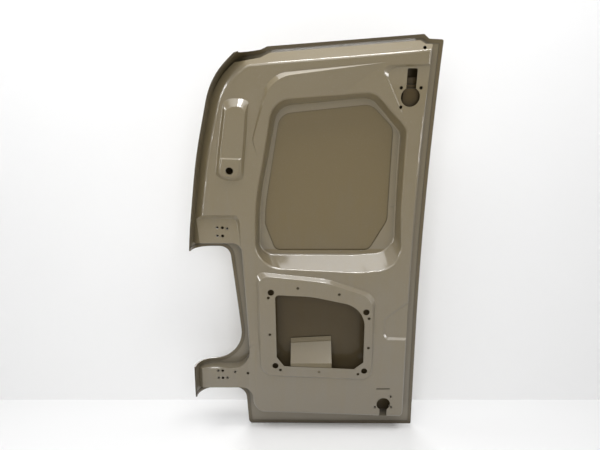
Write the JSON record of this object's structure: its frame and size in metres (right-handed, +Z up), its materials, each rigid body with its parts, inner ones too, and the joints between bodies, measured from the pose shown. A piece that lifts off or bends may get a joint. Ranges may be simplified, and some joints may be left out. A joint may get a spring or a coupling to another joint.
{
  "type": "campervan rear barn door",
  "caption": "Bare pressed-steel rear barn door of a campervan: hemmed outer skin, stamped inner panel with window recess and access opening, hinge lugs beside a tail-lamp gap.",
  "frame": {"origin": "on the flat face of the lower hinge pad, between its bolt holes", "axes": "+X from the hinge side to the closing edge, +Y from the inside of the vehicle to the outside, +Z up"},
  "size_m": [0.761, 0.1862, 1.3128],
  "materials": {
    "primer": "semi-gloss grey-brown dipped primer over pressed steel",
    "plated_steel": "weld nuts under thin primer",
    "mastic": "cured anti-flutter mastic"
  },
  "bodies": {
    "root": {"outer_skin": "primer", "inner_panel": "primer", "upper_hinge_reinforcement": "primer", "upper_hinge_weld_nuts": "plated_steel", "lower_hinge_reinforcement": "primer", "lower_hinge_weld_nuts": "plated_steel", "top_latch_reinforcement": "primer", "top_latch_backing": "primer", "bottom_latch_reinforcement": "primer", "bottom_latch_weld_nuts": "plated_steel", "lock_reinforcement": "primer", "stay_reinforcement": "primer", "handle_bracket": "primer", "waist_rail": "primer", "waist_rail_mastic": "mastic", "window_mastic": "mastic", "bracket_mastic": "mastic"}
  },
  "joints": []
}
